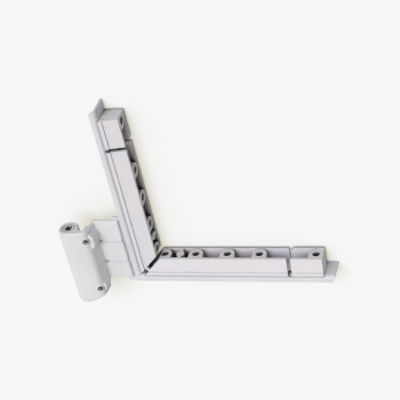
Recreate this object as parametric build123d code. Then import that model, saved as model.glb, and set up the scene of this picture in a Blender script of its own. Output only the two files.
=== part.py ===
from build123d import *
import math
import os

# Lower corner hinge of a tilt and turn window, sash side, lying on its back.
# Millimetres. +Z points to the room side, +X runs along the bottom arm and
# +Y along the upright arm, which is parallel to the turning axis.
# The origin is the mouth of the pivot bore, at the barrel's lower end.

# Corner angle: pressed steel, its webs stand on the rest plane
sheet = 1.5
web_overhang = 7.0
web_depth = 15.0
bend_radius = 2.4
flange_width = 4.5
flange_end_cut = 2.4
screw_hole_radius = 2.5
countersink_radius = 3.7

# Tab on the upright arm and its tongue under the leaf
tab_reach = 9.7
tab_bottom = -3.7
tab_top = 48.0
tab_corner = 1.0
tongue_margin = 1.9
tongue_bottom = 1.5
tongue_top = 40.6
pad_inset = 2.1
pad_bottom = -2.6

# Leaf of the hinge body and the two ribs that guide it
leaf_thickness = 2.0
leaf_bottom = 0.9
leaf_top = 46.5
leaf_right = 5.3
leaf_edge_break = 0.6
lateral_travel = 1.5
slide_clearance = 0.1
guide_places = (13.6, 30.4)
guide_right = 6.0
guide_foot_width = 1.2
guide_top_width = 2.0
guide_sink = 0.2
tenon_radius = 1.0
tenon_inset = 3.0
tenon_clearance = 0.02

# Corner packer: channel section with screw bosses
packer_length = 120.0
packer_back = 0.9
packer_depth = 12.0
packer_height = 12.2
floor_thickness = 2.0
near_wall = 1.7
far_wall = 1.4
wall_slope_rise = 1.3
lip_height = 2.5
lip_step = 0.9
lip_overhang = 0.5
lip_crown = 0.2
boss_radius = 4.6
boss_hole_radius = 2.5
boss_centre = 6.4
first_hole = 16.3
hole_pitch = 21.0
last_hole_margin = 4.4
pillar_offset = 10.5
pillar_radius = 2.5
pillar_rib = 2.4
peg_radius = 1.5
peg_clearance = 0.05
slot_margin = 22.7
slot_width = 2.6
slot_width_far = 4.2
mitre_gap = 1.9
lug_size = 1.8
lug_depth = 1.5
lug_below_wall = 0.4
lip_bend_contact = 0.8
lip_bend_depth = 1.4

# Hinge body: cast barrel, front skin and side wall
axis_offset = 36.6
axis_height = 22.8
barrel_radius = 6.7
body_bottom = -11.2
body_top = 46.0
skin_drop = 1.7
skin_corner_offset = 23.4
skin_corner_radius = 4.2
wall_foot_offset = 20.9
wall_foot_width = 2.2
web_rise = 1.5
wall_inner_offset = 25.1
web_corner_radius = 1.2
lift_from = 0.9
lift_to = -2.4
lift_height = 1.9
sweep_start_offset = 34.0
sweep_round = 14.0
sweep_corner_offset = 23.0
sweep_corner_rise = 4.6
sweep_corner_round = 3.0
sweep_end_rise = 7.4
lower_edge_round = 1.0
rim_chamfer = 0.8

# Bores in the barrel
main_bore_radius = 4.9
shoulder_thickness = 1.8
head_pocket_depth = 5.8
head_pocket_radius = 4.35
flange_pocket_depth = 0.9
flange_pocket_radius = 5.8
key_width = 2.0
key_height = 0.6
key_clearance = 0.1

# Height screw and what it drives
head_radius = 4.3
head_sink = 0.3
head_play = 0.05
star_radius = 2.75
star_inner_radius = 2.0
star_bite_radius = 1.25
star_depth = 3.0
head_edge_break = 0.3
shank_radius = 2.95
neck_radius = 2.3
neck_below_shoulder = 0.25
clip_thickness = 0.8
clip_radius = 4.4
clip_slot = 3.6
shank_end = 20.0
thread_clearance = 0.05
running_clearance = 0.05
nut_top = 32.5
nut_length = 18.5
button_radius = 3.4
button_proud = 2.5
button_stem_step = 1.0
button_stem_length = 1.5
button_edge_break = 0.8
button_cover = 0.8

# Pivot bush
bush_bore_radius = 3.55
bush_length = 19.0
bush_fit = 0.03

# Clamp screws that lock the leaf against the guide ribs
clamp_offset = 24.9
clamp_places = (-0.7, 38.4)
clamp_thread_radius = 2.1
clamp_clearance = 0.05
clamp_length = 11.5
clamp_tip_gap = 0.15
clamp_tip_radius = 1.1
clamp_tip_length = 1.0
clamp_hex_across = 2.3
clamp_hex_depth = 2.4
clamp_boss_radii = (3.9, 4.8)
clamp_boss_stretch = (0.0, 3.2)
clamp_boss_left = 28.0
clamp_boss_rise = 3.5
clamp_boss_round = 1.3
clamp_edge_break = 0.3

# Places worked out from the sizes above
web_length = packer_length + web_overhang
flange_top = web_depth
flange_bottom = flange_top - sheet
leaf_under = flange_top + slide_clearance
leaf_surface = leaf_under + leaf_thickness
corner_shift = (axis_offset, -body_bottom, -axis_height)
slot_start = packer_length - slot_margin
hole_count = int((slot_start - boss_radius - first_hole) // hole_pitch) + 1
hole_places = [first_hole + i * hole_pitch for i in range(hole_count)]
hole_places.append(packer_length - last_hole_margin)
boss_height_z = packer_back + boss_centre
packer_front = packer_back + packer_depth
web_height = axis_height + web_rise
tongue_reach = clamp_offset + tongue_margin
pad_right = clamp_offset - pad_inset
guide_left = wall_foot_offset - lateral_travel - 2 * slide_clearance
clamp_boss_top = axis_height + clamp_boss_rise
tenon_places = (-guide_left + tenon_inset, -guide_right - tenon_inset)
nut_thread_depth = nut_length - button_stem_length - button_cover
shoulder_top = body_top - head_pocket_depth
shoulder_bottom = shoulder_top - shoulder_thickness
mitre_plane = Plane(origin=(0, 0, 0), z_dir=(1, -1, 0))


def face_of(points):
    """A face inside straight lines through 3-D points."""
    return make_face(Polyline(*points, close=True))


def prism(low, high):
    """A box from its lowest to its highest corner."""
    size = [b - a for a, b in zip(low, high)]
    return Pos(*low) * Box(*size, align=(Align.MIN, Align.MIN, Align.MIN))


def rod(start, direction, radius, length):
    """A cylinder that starts at a point and runs along a direction."""
    plane = Plane(origin=start, z_dir=direction)
    return plane * Cylinder(radius, length, align=(Align.CENTER, Align.CENTER, Align.MIN))


def ring(start, direction, outer, inner, length):
    """A tube that starts at a point and runs along a direction."""
    return rod(start, direction, outer, length) - rod(start, direction, inner, length)


def other_arm(shape):
    """The same shape on the upright arm: X and Y change places."""
    return mirror(shape, about=mitre_plane)


def mitred(shape, gap):
    """Keeps what lies on the bottom arm's side of the mitre, less the gap."""
    reach = 2 * web_length
    depth = 2 * packer_front
    cutter = extrude(
        face_of([(gap - reach, -reach, -depth), (gap + reach, reach, -depth), (-reach, reach, -depth)]),
        amount=2 * depth, dir=(0, 0, 1))
    return shape - cutter


def angle_arm():
    """Web, bend and flange of the bottom arm, up to the mitre."""
    inner_bend = bend_radius - sheet
    centre_y, centre_z = -bend_radius, flange_top - bend_radius
    diagonal = math.sqrt(0.5)
    x = -2 * flange_width
    section = [
        Line((x, 0, 0), (x, 0, centre_z)),
        ThreePointArc((x, 0, centre_z),
                      (x, centre_y + bend_radius * diagonal, centre_z + bend_radius * diagonal),
                      (x, centre_y, flange_top)),
        Line((x, centre_y, flange_top), (x, -flange_width, flange_top)),
        Line((x, -flange_width, flange_top), (x, -flange_width, flange_bottom)),
        Line((x, -flange_width, flange_bottom), (x, centre_y, flange_bottom)),
        ThreePointArc((x, centre_y, flange_bottom),
                      (x, centre_y + inner_bend * diagonal, centre_z + inner_bend * diagonal),
                      (x, -sheet, centre_z)),
        Line((x, -sheet, centre_z), (x, -sheet, 0)),
        Line((x, -sheet, 0), (x, 0, 0)),
    ]
    arm = extrude(make_face(section), amount=web_length - x, dir=(1, 0, 0))
    end_cut = extrude(
        face_of([(web_length, -bend_radius / 2, -1), (web_length - flange_end_cut, -flange_width - 1, -1),
                 (web_length + 1, -flange_width - 1, -1), (web_length + 1, -bend_radius / 2, -1)]),
        amount=web_depth + 2, dir=(0, 0, 1))
    arm -= end_cut
    for place in hole_places:
        start = (place, -sheet, boss_height_z)
        arm -= rod(start, (0, 1, 0), screw_hole_radius, sheet)
        sink = countersink_radius - screw_hole_radius
        cone = Plane(origin=start, z_dir=(0, 1, 0)) * Cone(
            countersink_radius, screw_hole_radius, min(sink, sheet),
            align=(Align.CENTER, Align.CENTER, Align.MIN))
        arm -= cone
    peg = (first_hole + pillar_offset, -sheet, boss_height_z)
    arm -= rod(peg, (0, 1, 0), peg_radius + peg_clearance, sheet)
    return mitred(arm, 0)


def corner_angle():
    """Both arms of the pressed angle, with the tab and tongue for the leaf."""
    arm = angle_arm()
    tab = prism((-tab_reach, tab_bottom, flange_bottom), (-bend_radius, tab_top, flange_top))
    corners = [e for e in tab.edges().filter_by(Axis.Z) if e.center().X < -tab_reach + sheet]
    tab = fillet(corners, tab_corner)
    tongue = prism((-tongue_reach, tongue_bottom, flange_bottom), (-bend_radius, tongue_top, flange_top))
    pad = prism((-tongue_reach, pad_bottom, flange_bottom), (-pad_right, tongue_top, flange_top))
    angle = arm + other_arm(arm) + tab + (tongue + pad)
    for place in guide_places:
        for x in tenon_places:
            angle -= rod((x, place, flange_bottom), (0, 0, 1), tenon_radius + tenon_clearance, sheet)
    return angle


def guide_section(x, foot_half, top_half, low, high):
    """Dovetail outline across a guide rib or its slot."""
    return face_of([(x, -foot_half, low), (x, foot_half, low), (x, top_half, high), (x, -top_half, high)])


def guide_rib(place):
    """Dovetail rib with two rivets in the tongue, seen in a slot of the leaf."""
    section = guide_section(-guide_left, guide_foot_width / 2, guide_top_width / 2,
                            flange_top, leaf_surface - guide_sink)
    rib = extrude(section, amount=guide_left - guide_right, dir=(1, 0, 0))
    for x in tenon_places:
        rib += rod((x, 0, flange_bottom), (0, 0, 1), tenon_radius, sheet)
    return Pos(0, place, 0) * rib


def leaf():
    """Flat leaf of the hinge body, slotted for the two guide ribs."""
    plate = prism((-wall_foot_offset - wall_foot_width, leaf_bottom, leaf_under),
                  (-leaf_right, leaf_top, leaf_surface))
    upper = plate.faces().sort_by(Axis.Z)[-1].edges()
    plate = chamfer([upper.sort_by(Axis.X)[-1], upper.sort_by(Axis.Y)[-1]], leaf_edge_break)
    slope = (guide_top_width - guide_foot_width) / 2 / (leaf_surface - guide_sink - flange_top)
    foot_half = guide_foot_width / 2 + slide_clearance
    top_half = guide_top_width / 2 + slide_clearance + slope * guide_sink
    left = guide_left + lateral_travel + 2 * slide_clearance
    for place in guide_places:
        section = guide_section(-left, foot_half, top_half, flange_top, leaf_surface)
        slot = extrude(section, amount=left, dir=(1, 0, 0))
        plate -= Pos(0, place, 0) * slot
    return plate


def packer_arm():
    """Channel of the bottom arm, with bosses, pillar, slot and mitre."""
    front_foot = packer_front + wall_slope_rise
    lip_top = front_foot + lip_step
    section = face_of([
        (0, 0, packer_back),
        (0, packer_height, packer_back),
        (0, packer_height, packer_back + far_wall),
        (0, floor_thickness, packer_back + far_wall),
        (0, floor_thickness, front_foot - near_wall),
        (0, packer_height, packer_front - near_wall),
        (0, packer_height, packer_front),
        (0, lip_height, front_foot),
        (0, lip_height, lip_top),
        (0, -lip_overhang, lip_top + lip_crown),
        (0, -lip_overhang, flange_top - lip_bend_contact),
        (0, 0, flange_top - lip_bend_depth),
    ])
    arm = extrude(section, amount=packer_length, dir=(1, 0, 0))
    rise = packer_height
    for place in hole_places:
        arm += rod((place, 0, boss_height_z), (0, 1, 0), boss_radius, rise)
        arm += prism((place - boss_radius, 0, boss_height_z), (place + boss_radius, rise, packer_front - near_wall / 2))
    pillar = first_hole + pillar_offset
    arm += rod((pillar, 0, boss_height_z), (0, 1, 0), pillar_radius, rise)
    arm += prism((pillar - pillar_rib / 2, 0, packer_back), (pillar + pillar_rib / 2, rise, packer_front - near_wall / 2))
    arm += prism((packer_length - last_hole_margin, 0, packer_back), (packer_length, rise, packer_front - near_wall / 2))
    arm += prism((0, 0, packer_back), (first_hole, rise, packer_front - near_wall / 2))
    for place in hole_places:
        arm -= rod((place, 0, boss_height_z), (0, 1, 0), boss_hole_radius, rise)
    arm += rod((pillar, -sheet, boss_height_z), (0, 1, 0), peg_radius, sheet + floor_thickness)
    return mitred(slotted(arm), mitre_gap)


def slotted(arm):
    """Cuts the slot that parts the end block from the rest of the channel."""
    round_radius = slot_width / 2
    middle = slot_start + round_radius
    split = boss_height_z
    arm -= prism((slot_start, floor_thickness, split), (slot_start + slot_width, packer_height + 1, 2 * packer_front))
    lip_cut = prism((slot_start, round_radius - lip_overhang / 2, packer_front - near_wall),
                    (slot_start + slot_width, packer_height, 2 * packer_front))
    lip_cut += rod((middle, round_radius - lip_overhang / 2, packer_front - near_wall), (0, 0, 1),
                   round_radius, packer_front)
    arm -= lip_cut
    arm -= prism((slot_start, floor_thickness, 0), (slot_start + slot_width_far, packer_height + 1, split))
    return arm


def corner_packer():
    """Both arms and the small lug that links them across the mitre."""
    arm = packer_arm()
    lug_top = packer_front + wall_slope_rise - lug_below_wall
    centre = lip_height + mitre_gap
    reach = mitre_gap + lug_size
    lug = Pos(centre, centre, lug_top - lug_depth / 2) * Rot(0, 0, 45) * Box(lug_size, 2 * reach, lug_depth)
    return arm + other_arm(arm) + lug


def body_section(y):
    """Outline of the hinge body across the turning axis, with round corners."""
    bx, bz, r = -axis_offset, axis_height, barrel_radius
    slant = math.sqrt(0.5)
    span = axis_offset - skin_corner_offset
    skin_radius = (span * span + skin_drop * skin_drop) / (2 * skin_drop)
    half = math.asin(span / skin_radius) / 2
    skin_mid = (bx + skin_radius * math.sin(half), y, bz + r - skin_radius * (1 - math.cos(half)))
    corner = (-skin_corner_offset, y, bz + r - skin_drop)
    foot = leaf_under + leaf_thickness / 2
    inner = wall_foot_offset + wall_foot_width
    meet = (bx + math.sqrt(r * r - (web_height - bz) ** 2), y, web_height)
    outline = make_face([
        ThreePointArc((bx, y, bz + r), skin_mid, corner),
        Line(corner, (-wall_foot_offset, y, foot)),
        Line((-wall_foot_offset, y, foot), (-inner, y, foot)),
        Line((-inner, y, foot), (-wall_inner_offset, y, web_height)),
        Line((-wall_inner_offset, y, web_height), meet),
        ThreePointArc(meet, (bx + r * slant, y, bz - r * slant), (bx, y, bz - r)),
        ThreePointArc((bx, y, bz - r), (bx - r, y, bz), (bx, y, bz + r)),
    ])
    outline = fillet(nearest_vertex(outline, corner), skin_corner_radius)
    outline = fillet(nearest_vertex(outline, (-wall_inner_offset, y, web_height)), web_corner_radius)
    return fillet(nearest_vertex(outline, meet), web_corner_radius)


def nearest_vertex(shape, point):
    """The corner of a shape that lies closest to a point."""
    return shape.vertices().sort_by_distance(Vector(*point))[0]


def clamp_boss(place, radius, stretch):
    """Boss under the skin, longer towards the lower end by the stretch."""
    height = clamp_boss_top - leaf_surface
    boss = rod((-clamp_offset, place, leaf_surface), (0, 0, 1), radius, height)
    if stretch > 0:
        boss += rod((-clamp_offset, place - stretch, leaf_surface), (0, 0, 1), radius, height)
        boss += prism((-clamp_offset - radius, place - stretch, leaf_surface),
                      (-clamp_offset + radius, place, clamp_boss_top))
    boss = fillet(boss.faces().sort_by(Axis.Z)[-1].edges(), clamp_boss_round)
    side = prism((-clamp_boss_left - 2 * radius, place - stretch - radius, 0),
                 (-clamp_boss_left, place + radius, web_height))
    return boss - side


def lower_curve():
    """Room-side view of the body: its lower edge sweeps up to the leaf."""
    left = -2 * axis_offset
    right = -wall_foot_offset + 1
    top = 2 * body_top
    start = (-sweep_start_offset, body_bottom, 0)
    corner = (-sweep_corner_offset, body_bottom + sweep_corner_rise, 0)
    view = face_of([(left, top, 0), (left, body_bottom, 0), start, corner,
                    (right, body_bottom + sweep_end_rise, 0), (right, top, 0)])
    view = fillet(nearest_vertex(view, start), sweep_round)
    view = fillet(nearest_vertex(view, corner), sweep_corner_round)
    return extrude(view, amount=2 * axis_height, dir=(0, 0, 1))


def foot_lift():
    """Cutter that lifts the side wall's foot below the leaf."""
    x = -clamp_boss_left - 1
    low = body_bottom - 1
    side = face_of([(x, low, 0), (x, lift_from, 0), (x, lift_from, leaf_surface),
                    (x, lift_to, leaf_surface + lift_height), (x, low, leaf_surface + lift_height)])
    return extrude(side, amount=clamp_boss_left, dir=(1, 0, 0))


def hinge_body():
    """Cast body: barrel, front skin, leaning side wall, bosses and leaf."""
    body = extrude(body_section(body_bottom), amount=body_top - body_bottom, dir=(0, 1, 0))
    body &= lower_curve()
    lower = [e for f in body.faces() if f.center().Y < lift_to for e in f.edges()]
    front = axis_height + barrel_radius - 2 * skin_drop + lower_edge_round
    body = fillet([e for e in lower if e.center().Z > front and e.center().Y < lift_to], lower_edge_round)
    body = chamfer(body.faces().sort_by(Axis.Y)[-1].edges(), rim_chamfer)
    for place, radius, stretch in zip(clamp_places, clamp_boss_radii, clamp_boss_stretch):
        body += clamp_boss(place, radius, stretch)
    body -= foot_lift()
    body += leaf()
    axis_start = (-axis_offset, body_bottom, axis_height)
    body -= rod(axis_start, (0, 1, 0), main_bore_radius, shoulder_bottom - body_bottom)
    body -= rod(axis_start, (0, 1, 0), flange_pocket_radius, flange_pocket_depth)
    body -= rod((-axis_offset, shoulder_top, axis_height), (0, 1, 0), head_pocket_radius, head_pocket_depth)
    body -= rod((-axis_offset, shoulder_bottom, axis_height), (0, 1, 0),
                shank_radius + running_clearance, shoulder_thickness)
    body -= prism((-axis_offset - main_bore_radius - key_height, body_bottom, axis_height - key_width / 2),
                  (-axis_offset, shoulder_bottom, axis_height + key_width / 2))
    for place in clamp_places:
        body -= rod((-clamp_offset, place, 0), (0, 0, 1), clamp_thread_radius, 2 * axis_height)
    return body


def star_recess(top):
    """Six-lobed driving recess, cut down from the screw's head."""
    start = (-axis_offset, top - star_depth, axis_height)
    recess = rod(start, (0, 1, 0), star_radius, star_depth)
    distance = star_inner_radius + star_bite_radius
    for turn in range(30, 360, 60):
        x = -axis_offset + distance * math.cos(math.radians(turn))
        z = axis_height + distance * math.sin(math.radians(turn))
        recess -= rod((x, top - star_depth, z), (0, 1, 0), star_bite_radius, star_depth)
    return recess


def height_screw():
    """Screw held in the barrel's top; its shank turns in the lift nut."""
    top = body_top - head_sink
    under = shoulder_top + head_play
    screw = rod((-axis_offset, under, axis_height), (0, 1, 0), head_radius, top - under)
    screw = chamfer(screw.faces().sort_by(Axis.Y)[-1].edges(), head_edge_break)
    screw += rod((-axis_offset, shank_end, axis_height), (0, 1, 0), shank_radius, under - shank_end)
    groove_top = shoulder_bottom - neck_below_shoulder
    screw -= ring((-axis_offset, groove_top - clip_thickness, axis_height), (0, 1, 0),
                  shank_radius + 1, neck_radius, clip_thickness)
    return screw - star_recess(top)


def retaining_clip():
    """Open spring clip in the screw's groove, under the shoulder."""
    start = (-axis_offset, shoulder_bottom - neck_below_shoulder - clip_thickness, axis_height)
    clip = ring(start, (0, 1, 0), clip_radius, neck_radius, clip_thickness)
    mouth = prism((-axis_offset - clip_slot / 2, start[1], axis_height - clip_radius - 1),
                  (-axis_offset + clip_slot / 2, start[1] + clip_thickness, axis_height))
    mouth -= rod(start, (0, 1, 0), neck_radius, clip_thickness)
    return clip - mouth


def lift_nut():
    """Keyed nut that the screw moves along the barrel."""
    bottom = nut_top - nut_length
    radius = main_bore_radius - running_clearance
    nut = rod((-axis_offset, bottom, axis_height), (0, 1, 0), radius, nut_length)
    key = key_width / 2 - key_clearance
    nut += prism((-axis_offset - radius - key_height + key_clearance, bottom, axis_height - key),
                 (-axis_offset, nut_top, axis_height + key))
    nut -= rod((-axis_offset, nut_top - nut_thread_depth, axis_height), (0, 1, 0),
               shank_radius + thread_clearance, nut_thread_depth)
    nut -= rod((-axis_offset, bottom, axis_height), (0, 1, 0), button_radius - button_stem_step, button_stem_length)
    return nut


def thrust_button():
    """Hard button under the nut that bears on the frame's pin."""
    bottom = nut_top - nut_length
    button = rod((-axis_offset, bottom - button_proud, axis_height), (0, 1, 0), button_radius, button_proud)
    button = chamfer(button.faces().sort_by(Axis.Y)[0].edges(), button_edge_break)
    stem = rod((-axis_offset, bottom, axis_height), (0, 1, 0), button_radius - button_stem_step, button_stem_length)
    return button + stem


def pivot_bush():
    """Flanged bearing bush for the frame's pin, open at the barrel's end."""
    start = (-axis_offset, body_bottom, axis_height)
    bush = rod(start, (0, 1, 0), main_bore_radius - bush_fit, bush_length)
    bush += rod(start, (0, 1, 0), flange_pocket_radius - bush_fit, flange_pocket_depth)
    return bush - rod(start, (0, 1, 0), bush_bore_radius, bush_length)


def clamp_screw(place):
    """Socket set screw whose tip presses on the tongue."""
    tip = flange_top + clamp_tip_gap
    radius = clamp_thread_radius - clamp_clearance
    body_start = tip + clamp_tip_length
    top = tip + clamp_length
    screw = rod((-clamp_offset, place, body_start), (0, 0, 1), radius, top - body_start)
    screw = chamfer(screw.faces().sort_by(Axis.Z)[-1].edges(), clamp_edge_break)
    screw += Plane(origin=(-clamp_offset, place, tip)) * Cone(
        clamp_tip_radius, radius, clamp_tip_length, align=(Align.CENTER, Align.CENTER, Align.MIN))
    hex_face = Plane(origin=(-clamp_offset, place, top - clamp_hex_depth)) * RegularPolygon(
        clamp_hex_across / 2, 6, major_radius=False)
    return screw - extrude(hex_face, amount=clamp_hex_depth)


def save(name, shape):
    """Moves a piece from the corner to the pivot's frame and writes it."""
    solid = Pos(*corner_shift) * shape
    solid.label = name
    export_step(solid, f"parts/{name}.step")


os.makedirs("parts", exist_ok=True)
save("corner_angle", corner_angle())
save("corner_packer", corner_packer())
save("guide_rib_lower", guide_rib(guide_places[0]))
save("guide_rib_upper", guide_rib(guide_places[1]))
save("hinge_body", hinge_body())
save("height_screw", height_screw())
save("retaining_clip", retaining_clip())
save("lift_nut", lift_nut())
save("thrust_button", thrust_button())
save("pivot_bush", pivot_bush())
save("clamp_screw_lower", clamp_screw(clamp_places[0]))
save("clamp_screw_upper", clamp_screw(clamp_places[1]))
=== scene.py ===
"""Looks of a sash-side corner hinge for a tilt and turn window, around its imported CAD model."""

import math

import bmesh
import bpy
from mathutils import Euler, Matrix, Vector


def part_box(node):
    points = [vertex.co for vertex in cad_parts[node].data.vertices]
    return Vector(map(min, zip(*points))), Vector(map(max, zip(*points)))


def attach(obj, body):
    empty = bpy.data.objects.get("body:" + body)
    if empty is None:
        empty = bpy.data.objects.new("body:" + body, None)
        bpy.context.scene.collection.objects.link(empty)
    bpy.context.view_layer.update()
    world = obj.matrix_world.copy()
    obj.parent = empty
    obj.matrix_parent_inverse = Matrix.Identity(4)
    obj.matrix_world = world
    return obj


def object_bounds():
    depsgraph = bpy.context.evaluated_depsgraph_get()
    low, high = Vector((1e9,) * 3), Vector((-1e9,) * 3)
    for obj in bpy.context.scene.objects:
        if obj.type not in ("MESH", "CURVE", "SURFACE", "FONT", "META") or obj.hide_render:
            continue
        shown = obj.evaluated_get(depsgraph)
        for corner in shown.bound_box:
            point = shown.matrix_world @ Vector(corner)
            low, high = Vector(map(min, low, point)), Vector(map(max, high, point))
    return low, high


bl_info = {
    "name": "Corner hinge looks",
    "version": (1, 0, 0),
    "blender": (4, 5, 0),
    "location": "View3D > Sidebar > Corner hinge",
    "description": "Finishes, wall ends, thread turns and studio for a sash-side corner hinge",
    "category": "Object",
}

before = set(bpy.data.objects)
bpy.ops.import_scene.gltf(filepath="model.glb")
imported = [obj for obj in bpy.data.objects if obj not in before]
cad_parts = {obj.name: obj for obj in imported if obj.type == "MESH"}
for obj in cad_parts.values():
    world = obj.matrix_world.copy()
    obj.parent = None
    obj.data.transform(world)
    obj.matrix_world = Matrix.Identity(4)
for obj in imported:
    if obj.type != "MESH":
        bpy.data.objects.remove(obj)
cad_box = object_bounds()

# Sizes of the packer, in metres, as in the solids
ARM_LENGTH = 0.120
LIP_OVERHANG = 0.0005

# Painted shade in seams, recesses and pockets and on the table close under the object: its reach in
# metres, then the open shares of the view at which it is full and gone
COAT_SEAM_SHADE = (0.0012, 0.0, 0.9)
SCREW_RECESS_SHADE = (0.0022, 0.25, 0.85)
PACKER_SEAM_SHADE = (0.0010, 0.2, 0.9)
POCKET_SHADE = (0.0075, 0.28, 0.47)
DEEP_POCKET_SHADE = (0.016, 0.12, 0.52)
TABLE_CONTACT_SHADOW = (0.002, 0.25, 0.9)

# Distances in from the packer's rims, in metres, between which a painted shade line fades out
LIP_SHADE_LINE = (0.0002, 0.0010)
BACK_SHADOW_LINE = (0.0003, 0.0010)

# Width in metres over which the shade changes from one arm of the packer to the other
MITRE_BLEND = 0.001

# The wall ends stand this much proud of the packer's wall, so that no seam shows
WALL_COVER = 0.00002

# Straight steps in the rounded corner of a wall end
ROUND_STEPS = 8


# Sizes and colours that a user would change

class FinishSettings(bpy.types.PropertyGroup):
    """Colours and grain of the hinge's surfaces."""

    coat_colour: bpy.props.FloatVectorProperty(
        name="Coat colour", description="Silver coat of the cast body",
        subtype="COLOR", size=3, min=0.0, max=1.0, default=(0.77, 0.765, 0.78))
    sheet_colour: bpy.props.FloatVectorProperty(
        name="Sheet colour", description="Silver coat of the pressed angle",
        subtype="COLOR", size=3, min=0.0, max=1.0, default=(0.72, 0.73, 0.76))
    packer_colour: bpy.props.FloatVectorProperty(
        name="Packer colour", description="Pale grey plastic of the packer",
        subtype="COLOR", size=3, min=0.0, max=1.0, default=(0.755, 0.73, 0.765))
    zinc_colour: bpy.props.FloatVectorProperty(
        name="Zinc colour", description="Zinc plating of the screws",
        subtype="COLOR", size=3, min=0.0, max=1.0, default=(0.56, 0.56, 0.55))
    bush_colour: bpy.props.FloatVectorProperty(
        name="Bush colour", description="Dark plastic of the pivot bush",
        subtype="COLOR", size=3, min=0.0, max=1.0, default=(0.03, 0.03, 0.032))
    # Painted shade: the dark olive mixed into seams, recesses and pockets where they are closed in
    painted_shade_colour: bpy.props.FloatVectorProperty(
        name="Shade colour", description="Dark olive of seams, recesses and pockets",
        subtype="COLOR", size=3, min=0.0, max=1.0, default=(0.050, 0.045, 0.030))
    grain_size: bpy.props.FloatProperty(
        name="Grain size", description="Size of the coat's grain",
        subtype="DISTANCE", min=0.0001, max=0.01, default=0.0007)
    cloud_size: bpy.props.FloatProperty(
        name="Cloud size", description="Size of the coat's faint clouding",
        subtype="DISTANCE", min=0.001, max=0.1, default=0.018)
    flow_size: bpy.props.FloatProperty(
        name="Flow size", description="Size of the slow changes of tone in the packer's plastic",
        subtype="DISTANCE", min=0.001, max=0.1, default=0.03)
    patch_size: bpy.props.FloatProperty(
        name="Patch size", description="Size of the dull patches in the zinc plating",
        subtype="DISTANCE", min=0.0001, max=0.01, default=0.0016)
    edge_radius: bpy.props.FloatProperty(
        name="Edge softening", description="Radius at which hard edges catch the light",
        subtype="DISTANCE", min=0.0, max=0.001, default=0.00022)


class ThreadSettings(bpy.types.PropertyGroup):
    """Thread turns seen in the mouths of the clamp screws' holes."""

    pitch: bpy.props.FloatProperty(
        name="Pitch", description="Distance from one turn to the next", subtype="DISTANCE",
        min=0.0002, max=0.002, default=0.0007)
    turns: bpy.props.IntProperty(
        name="Turns", description="Number of turns above each screw", min=1, max=12, default=2)
    depth: bpy.props.FloatProperty(
        name="Thread depth", description="How far a crest stands into the hole", subtype="DISTANCE",
        min=0.00005, max=0.0005, default=0.00018)


class WallSettings(bpy.types.PropertyGroup):
    """Rounded ends of the packer's far walls beside the slots."""

    start: bpy.props.FloatProperty(
        name="Start", description="From an arm's end back to the wall end's free, rounded side",
        subtype="DISTANCE", min=0.0, max=0.1, default=0.0221)
    end: bpy.props.FloatProperty(
        name="End", description="From an arm's end back to the wall end's square side",
        subtype="DISTANCE", min=0.0, max=0.1, default=0.0003)
    top: bpy.props.FloatProperty(
        name="Top", description="Height of the wall's edge over the arm's corner",
        subtype="DISTANCE", min=0.001, max=0.05, default=0.01222)
    foot: bpy.props.FloatProperty(
        name="Foot", description="Height at which the wall meets the arm's floor",
        subtype="DISTANCE", min=0.0, max=0.05, default=0.002)
    thickness: bpy.props.FloatProperty(
        name="Thickness", description="Thickness of the wall", subtype="DISTANCE",
        min=0.0005, max=0.005, default=0.00144)
    round: bpy.props.FloatProperty(
        name="Round", description="Radius of the rounded corner", subtype="DISTANCE",
        min=0.0, max=0.01, default=0.0036)


class StageSettings(bpy.types.PropertyGroup):
    """Table, light and camera of the studio."""

    table_colour: bpy.props.FloatVectorProperty(
        name="Table colour", description="White of the table",
        subtype="COLOR", size=3, min=0.0, max=1.0, default=(0.94, 0.94, 0.942))
    table_shade: bpy.props.FloatProperty(
        name="Table shade", description="Share of the table's white that lights the object",
        subtype="FACTOR", min=0.0, max=1.0, default=0.42)
    table_width: bpy.props.FloatProperty(
        name="Table width", description="Width of the table top", subtype="DISTANCE",
        min=1.0, max=50.0, default=12.0)
    # Painted contact shadow: the table's steady white is darkened to this share close under the
    # object
    contact_shade: bpy.props.FloatProperty(
        name="Contact shade", description="Share of the table's steady white left under the object",
        subtype="FACTOR", min=0.0, max=1.0, default=0.35)
    shadow_share: bpy.props.FloatVectorProperty(
        name="Shadow share", description="Share of each colour that the table's shadow takes away",
        subtype="COLOR", size=3, min=0.0, max=1.0, default=(0.42, 0.46, 0.66))
    key_strength: bpy.props.FloatProperty(
        name="Key strength", description="Strength of the soft key light",
        min=0.0, max=20.0, default=1.80)
    key_colour: bpy.props.FloatVectorProperty(
        name="Key colour", description="Tint of the key light",
        subtype="COLOR", size=3, min=0.0, max=1.0, default=(0.985, 0.99, 1.0))
    key_direction: bpy.props.FloatVectorProperty(
        name="Key direction", description="Where the key light comes from",
        subtype="DIRECTION", size=3, default=(-0.15, 0.44, 0.89))
    key_angle: bpy.props.FloatProperty(
        name="Key softness", description="Apparent size of the key light", subtype="ANGLE",
        min=0.0, max=math.pi, default=math.radians(42))
    sky_strength: bpy.props.FloatProperty(
        name="Room light", description="Strength of the light from all around",
        min=0.0, max=5.0, default=0.54)
    bright_side: bpy.props.FloatVectorProperty(
        name="Bright side", description="Room light from the barrel's side",
        subtype="COLOR", size=3, min=0.0, max=2.0, default=(1.17, 1.17, 1.19))
    dim_side: bpy.props.FloatVectorProperty(
        name="Dim side", description="Room light from the side of the bottom arm's end",
        subtype="COLOR", size=3, min=0.0, max=2.0, default=(0.62, 0.62, 0.60))
    camera_place: bpy.props.FloatVectorProperty(
        name="Camera place", description="Where the camera stands", subtype="TRANSLATION", size=3,
        default=(0.31492, 0.50137, 0.55240))
    camera_turn: bpy.props.FloatVectorProperty(
        name="Camera turn", description="How the camera is turned", subtype="EULER", size=3,
        default=(math.radians(-38.940), math.radians(13.614), math.radians(-11.572)))
    camera_lens: bpy.props.FloatProperty(
        name="Lens", description="Focal length in millimetres on a 36 mm frame",
        unit="CAMERA", min=10.0, max=300.0, default=109.82)


# Shader maths as plain expressions

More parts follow.
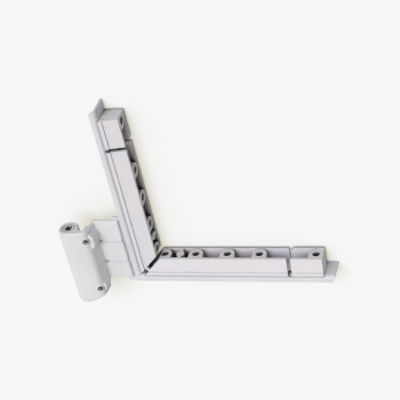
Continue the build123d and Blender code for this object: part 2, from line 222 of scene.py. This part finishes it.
class Socket:
    """An output socket with arithmetic, so that a pattern reads as a formula."""

    def __init__(self, shader, link):
        self.shader = shader
        self.link = link

    def _math(self, operation, first, second):
        return self.shader.node("ShaderNodeMath", {"operation": operation}, {0: first, 1: second})

    def __add__(self, other):
        return self._math("ADD", self, other)

    def __radd__(self, other):
        return self._math("ADD", other, self)

    def __sub__(self, other):
        return self._math("SUBTRACT", self, other)

    def __rsub__(self, other):
        return self._math("SUBTRACT", other, self)

    def __mul__(self, other):
        return self._math("MULTIPLY", self, other)

    def __rmul__(self, other):
        return self._math("MULTIPLY", other, self)


class Shader:
    """The node tree of a material or world, built by one method for every kind of node."""

    def __init__(self, owner):
        owner.use_nodes = True
        self.owner = owner
        self.tree = owner.node_tree
        self.tree.nodes.clear()

    def node(self, kind, settings=None, inputs=None, output=0):
        made = self.tree.nodes.new(kind)
        for key, value in (settings or {}).items():
            setattr(made, key, value)
        for key, value in (inputs or {}).items():
            socket = made.inputs[key]
            if isinstance(value, Socket):
                self.tree.links.new(value.link, socket)
            else:
                socket.default_value = value
        return Socket(self, made.outputs[output]) if made.outputs else None

    def mix(self, factor, first, second):
        """Colour mix: inputs 6 and 7 are the colour sockets, output 2 is the colour."""
        return self.node("ShaderNodeMix", {"data_type": "RGBA"},
                         {0: factor, 6: first, 7: second}, output=2)

    def place(self):
        """Object coordinates, in metres in the CAD frame."""
        return self.node("ShaderNodeTexCoord", output="Object")

    def noise(self, size, detail=2.0, roughness=0.5):
        """Noise whose features are about one size across."""
        return self.node("ShaderNodeTexNoise", {"noise_dimensions": "3D"},
                         {"Vector": self.place(), "Scale": 1.0 / size, "Detail": detail,
                          "Roughness": roughness})

    def band(self, value, low, high):
        """Zero under the low value, one over the high one."""
        return self.node("ShaderNodeMapRange", {"clamp": True},
                         {0: value, 1: low, 2: high, 3: 0.0, 4: 1.0})

    def openness(self, reach, low, high):
        """How open a place is within the reach: zero under the low share, one over the high."""
        share = self.node("ShaderNodeAmbientOcclusion", {"samples": 12}, {"Distance": reach},
                          output="AO")
        return self.band(share, low, high)

    def eased(self, share, depth):
        """A share from zero to one, lifted so that its lowest value is one less the depth."""
        return share * depth + (1 - depth)

    def axis(self, number):
        """One of the three object coordinates."""
        return self.node("ShaderNodeSeparateXYZ", None, {0: self.place()}, output=number)

    def lesser(self, first, second):
        return self.node("ShaderNodeMath", {"operation": "MINIMUM"}, {0: first, 1: second})

    def soft_edges(self, radius):
        """Normals rounded over hard edges."""
        return self.node("ShaderNodeBevel", {"samples": 6}, {"Radius": radius})

    def bump(self, height, distance, strength, normal):
        return self.node("ShaderNodeBump", None, {"Strength": strength, "Distance": distance,
                                                  "Height": height, "Normal": normal})

    def surface(self, inputs):
        """The finished material, with the given inputs on its shader."""
        shader = self.node("ShaderNodeBsdfPrincipled", None, inputs)
        self.node("ShaderNodeOutputMaterial", None, {"Surface": shader})
        return self.owner


def rgba(colour, factor=1.0):
    """A colour property as a node value, made lighter or darker by a factor."""
    return tuple(min(1.0, channel * factor) for channel in colour) + (1.0,)


# Finishes

def new_shader(name):
    """An empty node tree in a new material."""
    return Shader(bpy.data.materials.new(name))


def silver_coat(name, colour, finish, seam_shade_depth):
    """Satin silver coat: fine grain, faint clouding, soft edges, painted shade in seams by the
    given depth.
    """
    shader = new_shader(name)
    grain = shader.noise(finish.grain_size, detail=3.0)
    cloud = shader.noise(finish.cloud_size, detail=2.0)
    tone = shader.band(cloud * 0.7 + grain * 0.3, low=0.35, high=0.65)
    base = shader.mix(tone, rgba(colour, factor=0.965), rgba(colour, factor=1.02))
    # Painted shade in seams and narrow gaps
    painted_seam_shade = shader.eased(shader.openness(*COAT_SEAM_SHADE), seam_shade_depth)
    base = shader.mix(painted_seam_shade, rgba(finish.painted_shade_colour), base)
    rough = 0.40 + 0.12 * grain
    edges = shader.soft_edges(finish.edge_radius)
    normal = shader.bump(grain, distance=0.00004, strength=0.35, normal=edges)
    return shader.surface({"Base Color": base, "Roughness": rough, "Metallic": 0.0,
                           "IOR": 1.5, "Normal": normal})


def moulded_plastic(name, finish, rims):
    """Pale moulded plastic: fine matt texture, slow changes of tone, painted shade lines on its
    rims and painted shade in its seams and pockets.

    The rims are the lowest x and y of the lip and the lowest z of the back edge.
    """
    shader = new_shader(name)
    red, green, blue = finish.packer_colour
    grain = shader.noise(finish.grain_size * 0.8, detail=4.0, roughness=0.6)
    flow = shader.noise(finish.flow_size, detail=1.0)
    cool = (red * 0.985, green * 0.995, blue * 1.02, 1.0)
    warm = (red * 1.02, green, blue * 0.97, 1.0)
    base = shader.mix(shader.band(flow, low=0.3, high=0.7), cool, warm)
    across, along, above = (shader.axis(number) - rim for number, rim in enumerate(rims))
    # Painted shade: dark lines where the lip meets the flange and where the back edge stands over
    # the table
    painted_lip_shade = shader.eased(shader.band(shader.lesser(across, along), *LIP_SHADE_LINE), depth=0.45)
    painted_back_shadow = shader.eased(shader.band(above, *BACK_SHADOW_LINE), depth=0.7)
    # Painted shade in the packer's narrow seams and in its pockets, deeper on the upright arm whose
    # pockets open towards the dim side
    painted_seam_shade = shader.eased(shader.openness(*PACKER_SEAM_SHADE), depth=0.25)
    upright_arm = shader.band(along - across, 0.0, MITRE_BLEND)
    painted_upright_shade = (1.0 - shader.openness(*DEEP_POCKET_SHADE)) * upright_arm
    painted_pocket_shade = shader.openness(*POCKET_SHADE) * (1.0 - painted_upright_shade)
    base = shader.mix(painted_pocket_shade * painted_seam_shade * painted_lip_shade * painted_back_shadow, rgba(finish.painted_shade_colour), base)
    rough = 0.52 + 0.12 * grain
    edges = shader.soft_edges(finish.edge_radius)
    normal = shader.bump(grain, distance=0.00003, strength=0.3, normal=edges)
    return shader.surface({"Base Color": base, "Roughness": rough, "IOR": 1.48, "Normal": normal})


def zinc_plate(name, finish, recess_shade_depth):
    """Zinc-plated screw steel with dull patches and painted shade in recesses by the given depth.
    """
    shader = new_shader(name)
    patch = shader.noise(finish.patch_size, detail=3.0)
    grain = shader.noise(finish.grain_size * 0.4, detail=2.0)
    base = shader.mix(shader.band(patch, low=0.4, high=0.7), rgba(finish.zinc_colour),
                      rgba(finish.zinc_colour, factor=0.8))
    # Painted shade in the screw's recesses and other closed-in places
    painted_recess_shade = shader.eased(shader.openness(*SCREW_RECESS_SHADE), recess_shade_depth)
    base = shader.mix(painted_recess_shade, rgba(finish.painted_shade_colour), base)
    rough = 0.34 + 0.22 * patch
    edges = shader.soft_edges(finish.edge_radius * 0.6)
    normal = shader.bump(grain, distance=0.00002, strength=0.3, normal=edges)
    return shader.surface({"Base Color": base, "Roughness": rough, "Metallic": 0.85,
                           "Normal": normal})


def dark_plastic(name, finish):
    """Smooth dark bearing plastic of the bush."""
    shader = new_shader(name)
    grain = shader.noise(finish.grain_size, detail=2.0)
    base = shader.mix(grain, rgba(finish.bush_colour, factor=0.8),
                      rgba(finish.bush_colour, factor=1.3))
    edges = shader.soft_edges(finish.edge_radius)
    normal = shader.bump(grain, distance=0.00002, strength=0.2, normal=edges)
    return shader.surface({"Base Color": base, "Roughness": 0.34 + 0.1 * grain,
                           "Normal": normal})


def dress(node, material):
    """Gives every slot of a CAD node one material."""
    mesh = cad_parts[node].data
    mesh.materials.clear()
    mesh.materials.append(material)


class HINGE_OT_cast_body(bpy.types.Operator):
    """Gives the cast body its silver coat"""

    bl_idname = "corner_hinge.cast_body"
    bl_label = "Cast body finish"

    def execute(self, context):
        finish = context.scene.hinge_finish
        coat = silver_coat("silver_coat_cast", finish.coat_colour, finish, seam_shade_depth=0.1)
        dress("hinge_body", coat)
        return {"FINISHED"}


class HINGE_OT_angle(bpy.types.Operator):
    """Gives the pressed angle and its guide ribs their silver coat"""

    bl_idname = "corner_hinge.angle"
    bl_label = "Angle finish"

    def execute(self, context):
        finish = context.scene.hinge_finish
        coat = silver_coat("silver_coat_sheet", finish.sheet_colour, finish, seam_shade_depth=0.15)
        for node in ("corner_angle", "guide_rib_lower", "guide_rib_upper"):
            dress(node, coat)
        return {"FINISHED"}


class HINGE_OT_packer(bpy.types.Operator):
    """Gives the corner packer its moulded plastic"""

    bl_idname = "corner_hinge.packer"
    bl_label = "Packer finish"

    def execute(self, context):
        finish = context.scene.hinge_finish
        low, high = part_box("corner_packer")
        reach = ARM_LENGTH + LIP_OVERHANG
        rims = (high[0] - reach, high[1] - reach, low[2])
        dress("corner_packer", moulded_plastic("packer_plastic", finish, rims))
        return {"FINISHED"}


class HINGE_OT_screws(bpy.types.Operator):
    """Gives the screws, nut, button and clip their zinc plating and the bush its dark plastic"""

    bl_idname = "corner_hinge.screws"
    bl_label = "Screw finish"

    def execute(self, context):
        finish = context.scene.hinge_finish
        # Two copies of the zinc that differ only in the depth of their painted recess shade: full
        # on the height screw and its parts, half on the clamp screws
        bright = zinc_plate("zinc_plate", finish, recess_shade_depth=1.0)
        for node in ("height_screw", "retaining_clip", "lift_nut", "thrust_button"):
            dress(node, bright)
        dull = zinc_plate("zinc_plate_clamp", finish, recess_shade_depth=0.5)
        for node in ("clamp_screw_lower", "clamp_screw_upper"):
            dress(node, dull)
        dress("pivot_bush", dark_plastic("bush_plastic", finish))
        return {"FINISHED"}


# Thread turns in the clamp screws' holes

def thread_tree():
    """Geometry tree: rings of a small triangular section, one pitch apart, along Z."""
    tree = bpy.data.node_groups.new("thread_turns", "GeometryNodeTree")
    kinds = {"Radius": "NodeSocketFloat", "Depth": "NodeSocketFloat", "Pitch": "NodeSocketFloat",
             "Turns": "NodeSocketInt", "Place": "NodeSocketVector",
             "Material": "NodeSocketMaterial"}
    keys = {}
    for name, kind in kinds.items():
        made = tree.interface.new_socket(name=name, in_out="INPUT", socket_type=kind)
        keys[name] = made.identifier
    tree.interface.new_socket(name="Geometry", in_out="OUTPUT", socket_type="NodeSocketGeometry")
    nodes, links = tree.nodes, tree.links
    given = nodes.new("NodeGroupInput")
    rail = nodes.new("GeometryNodeCurvePrimitiveCircle")
    rail.inputs["Resolution"].default_value = 40
    section = nodes.new("GeometryNodeCurvePrimitiveCircle")
    section.inputs["Resolution"].default_value = 3
    ring = nodes.new("GeometryNodeCurveToMesh")
    step = nodes.new("ShaderNodeCombineXYZ")
    line = nodes.new("GeometryNodeMeshLine")
    copies = nodes.new("GeometryNodeInstanceOnPoints")
    real = nodes.new("GeometryNodeRealizeInstances")
    finish = nodes.new("GeometryNodeSetMaterial")
    result = nodes.new("NodeGroupOutput")
    links.new(given.outputs["Radius"], rail.inputs["Radius"])
    links.new(given.outputs["Depth"], section.inputs["Radius"])
    links.new(rail.outputs["Curve"], ring.inputs["Curve"])
    links.new(section.outputs["Curve"], ring.inputs["Profile Curve"])
    links.new(given.outputs["Pitch"], step.inputs["Z"])
    links.new(given.outputs["Turns"], line.inputs["Count"])
    links.new(given.outputs["Place"], line.inputs["Start Location"])
    links.new(step.outputs["Vector"], line.inputs["Offset"])
    links.new(line.outputs["Mesh"], copies.inputs["Points"])
    links.new(ring.outputs["Mesh"], copies.inputs["Instance"])
    links.new(copies.outputs["Instances"], real.inputs["Geometry"])
    links.new(real.outputs["Geometry"], finish.inputs["Geometry"])
    links.new(given.outputs["Material"], finish.inputs["Material"])
    links.new(finish.outputs["Geometry"], result.inputs[0])
    return tree, keys


def grown_mesh(name, tree, values):
    """A plain mesh object made by a geometry tree with its named inputs set."""
    seed = bpy.data.objects.new(name + "_seed", bpy.data.meshes.new(name + "_seed"))
    bpy.context.collection.objects.link(seed)
    modifier = seed.modifiers.new("grow", "NODES")
    modifier.node_group = tree
    for key, value in values.items():
        modifier[key] = value
    bpy.context.view_layer.update()
    grown = seed.evaluated_get(bpy.context.evaluated_depsgraph_get())
    mesh = bpy.data.meshes.new_from_object(grown)
    mesh.name = name
    seed.modifiers.remove(modifier)
    bpy.data.objects.remove(seed)
    piece = bpy.data.objects.new(name, mesh)
    bpy.context.collection.objects.link(piece)
    return piece


class HINGE_OT_threads(bpy.types.Operator):
    """Adds the thread turns above each clamp screw"""

    bl_idname = "corner_hinge.threads"
    bl_label = "Thread turns"

    def execute(self, context):
        thread = context.scene.hinge_thread
        finish = context.scene.hinge_finish
        tree, keys = thread_tree()
        coat = silver_coat("silver_coat_thread", finish.coat_colour, finish, seam_shade_depth=0.4)
        for side in ("lower", "upper"):
            low, high = (Vector(corner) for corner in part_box("clamp_screw_" + side))
            middle = (low + high) / 2
            radius = (high.x - low.x) / 2
            start = Vector((middle.x, middle.y, high.z + thread.pitch / 2))
            values = {keys["Radius"]: radius, keys["Depth"]: thread.depth,
                      keys["Pitch"]: thread.pitch, keys["Turns"]: thread.turns,
                      keys["Place"]: start, keys["Material"]: coat}
            piece = grown_mesh("thread_turns_" + side, tree, values)
            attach(piece, "hinge")
        return {"FINISHED"}


# Rounded wall ends beside the packer's slots

def wall_end_outline(wall, arm_end):
    """Corners of a wall end, as places along the arm and heights over its floor."""
    free, carried = arm_end - wall.start, arm_end - wall.end
    outline = [(carried, wall.foot), (carried, wall.top)]
    for step in range(ROUND_STEPS + 1):
        turn = math.radians(90) * step / ROUND_STEPS
        outline.append((free + wall.round * (1 - math.sin(turn)),
                        wall.top - wall.round * (1 - math.cos(turn))))
    outline.append((free, wall.foot))
    return outline


def plate_mesh(name, near, far):
    """A closed plate between two outlines of the same number of corners."""
    count = len(near)
    faces = [tuple(range(count)), tuple(range(2 * count - 1, count - 1, -1))]
    faces += [(i, count + i, count + (i + 1) % count, (i + 1) % count) for i in range(count)]
    mesh = bpy.data.meshes.new(name)
    mesh.from_pydata(near + far, [], faces)
    shell = bmesh.new()
    shell.from_mesh(mesh)
    bmesh.ops.recalc_face_normals(shell, faces=shell.faces)
    shell.to_mesh(mesh)
    shell.free()
    return mesh


class HINGE_OT_wall_ends(bpy.types.Operator):
    """Adds the rounded ends of the packer's far walls beside the slots"""

    bl_idname = "corner_hinge.wall_ends"
    bl_label = "Wall ends"

    def execute(self, context):
        wall = context.scene.hinge_wall
        low, high = (Vector(corner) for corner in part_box("corner_packer"))
        corner = (high.x - ARM_LENGTH, high.y - ARM_LENGTH)
        plastic = bpy.data.materials["packer_plastic"]
        outline = wall_end_outline(wall, ARM_LENGTH)
        levels = (low.z - WALL_COVER, low.z - WALL_COVER + wall.thickness)
        for name, turned in (("wall_end_bottom", False), ("wall_end_upright", True)):
            sides = []
            for level in levels:
                flat = [(rise, along) if turned else (along, rise) for along, rise in outline]
                sides.append([(corner[0] + x, corner[1] + y, level) for x, y in flat])
            piece = bpy.data.objects.new(name, plate_mesh(name, *sides))
            bpy.context.collection.objects.link(piece)
            piece.data.materials.append(plastic)
            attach(piece, "angle")
        return {"FINISHED"}


# Studio

def table_material(stage):
    """White table that stays white in the picture and keeps its shadow, with a painted contact
    shadow close under the object.
    """
    shader = new_shader("table_white")
    shaded = [whole * share for whole, share in zip(stage.table_colour, stage.shadow_share)]
    steady = [whole - part for whole, part in zip(stage.table_colour, shaded)]
    lit = shader.node("ShaderNodeBsdfDiffuse", None, {"Color": rgba(shaded)})
    # Painted contact shadow: the steady white darkens where the object stands close
    painted_contact_shadow = shader.mix(shader.openness(*TABLE_CONTACT_SHADOW), rgba(steady, stage.contact_shade),
                             rgba(steady))
    plain = shader.node("ShaderNodeEmission", None, {"Color": painted_contact_shadow, "Strength": 1.0})
    white = shader.node("ShaderNodeAddShader", None, {0: plain, 1: lit})
    dim = shader.node("ShaderNodeBsdfDiffuse", None,
                      {"Color": rgba(stage.table_colour, stage.table_shade)})
    camera = shader.node("ShaderNodeLightPath", output="Is Camera Ray")
    glossy = shader.node("ShaderNodeLightPath", output="Is Glossy Ray")
    through = shader.node("ShaderNodeLightPath", output="Is Transmission Ray")
    surface = shader.node("ShaderNodeMixShader", None,
                          {0: camera + glossy + through, 1: dim, 2: white})
    shader.node("ShaderNodeOutputMaterial", None, {"Surface": surface})
    return shader.owner


def add_table(stage):
    low = Vector(cad_box[0])
    half = stage.table_width / 2
    mesh = bpy.data.meshes.new("table")
    corners = [(-half, -half, low.z), (half, -half, low.z), (half, half, low.z),
               (-half, half, low.z)]
    mesh.from_pydata(corners, [], [(0, 1, 2, 3)])
    table = bpy.data.objects.new("table", mesh)
    bpy.context.collection.objects.link(table)
    mesh.materials.append(table_material(stage))


def add_key(stage):
    """A wide soft sun from above, tilted towards the upright arm's end and the barrel's side."""
    sun = bpy.data.lights.new("key", "SUN")
    sun.energy = stage.key_strength
    sun.angle = stage.key_angle
    sun.color = stage.key_colour
    key = bpy.data.objects.new("key", sun)
    key.rotation_euler = Vector(stage.key_direction).to_track_quat("Z", "Y").to_euler()
    bpy.context.collection.objects.link(key)


def add_room(stage):
    """Light from all around, graded from the bright side at -X to the dim side at +X."""
    room = Shader(bpy.data.worlds.new("room"))
    direction = room.node("ShaderNodeTexCoord", output="Generated")
    across = room.node("ShaderNodeSeparateXYZ", None, {0: direction}, output="X")
    tone = room.mix(room.band(across, -1.0, 1.0), tuple(stage.bright_side) + (1.0,),
                    tuple(stage.dim_side) + (1.0,))
    light = room.node("ShaderNodeBackground", None,
                      {"Color": tone, "Strength": stage.sky_strength})
    room.node("ShaderNodeOutputWorld", None, {"Surface": light})
    bpy.context.scene.world = room.owner


def add_camera(stage):
    lens = bpy.data.cameras.new("camera")
    lens.sensor_width = 36.0
    lens.lens = stage.camera_lens
    lens.clip_start = 0.01
    camera = bpy.data.objects.new("camera", lens)
    camera.location = stage.camera_place
    camera.rotation_euler = Euler(stage.camera_turn, "XYZ")
    bpy.context.collection.objects.link(camera)
    bpy.context.scene.camera = camera


class HINGE_OT_studio(bpy.types.Operator):
    """Adds the table, the soft light and the camera"""

    bl_idname = "corner_hinge.studio"
    bl_label = "Studio"

    def execute(self, context):
        stage = context.scene.hinge_stage
        add_table(stage)
        add_key(stage)
        add_room(stage)
        add_camera(stage)
        context.scene.view_settings.view_transform = "Standard"
        return {"FINISHED"}


# Add-on layout

STEPS = (HINGE_OT_studio, HINGE_OT_cast_body, HINGE_OT_angle, HINGE_OT_packer,
         HINGE_OT_wall_ends, HINGE_OT_screws, HINGE_OT_threads)


class HINGE_PT_panel(bpy.types.Panel):
    """Lists the steps and their settings in the sidebar"""

    bl_label = "Corner hinge"
    bl_idname = "HINGE_PT_panel"
    bl_space_type = "VIEW_3D"
    bl_region_type = "UI"
    bl_category = "Corner hinge"

    def draw(self, context):
        for name in SETTINGS:
            group = getattr(context.scene, name)
            box = self.layout.box()
            for key in group.__annotations__:
                box.prop(group, key)
        for step in STEPS:
            self.layout.operator(step.bl_idname)


SETTINGS = {"hinge_finish": FinishSettings, "hinge_thread": ThreadSettings,
            "hinge_wall": WallSettings, "hinge_stage": StageSettings}
CLASSES = tuple(SETTINGS.values()) + STEPS + (HINGE_PT_panel,)


def register():
    for cls in CLASSES:
        bpy.utils.register_class(cls)
    for name, group in SETTINGS.items():
        setattr(bpy.types.Scene, name, bpy.props.PointerProperty(type=group))


def unregister():
    for name in SETTINGS:
        delattr(bpy.types.Scene, name)
    for cls in reversed(CLASSES):
        bpy.utils.unregister_class(cls)


def main():
    register()
    bpy.ops.corner_hinge.studio()
    bpy.ops.corner_hinge.cast_body()
    bpy.ops.corner_hinge.angle()
    bpy.ops.corner_hinge.packer()
    bpy.ops.corner_hinge.wall_ends()
    bpy.ops.corner_hinge.screws()
    bpy.ops.corner_hinge.threads()


if __name__ == "__main__":
    main()
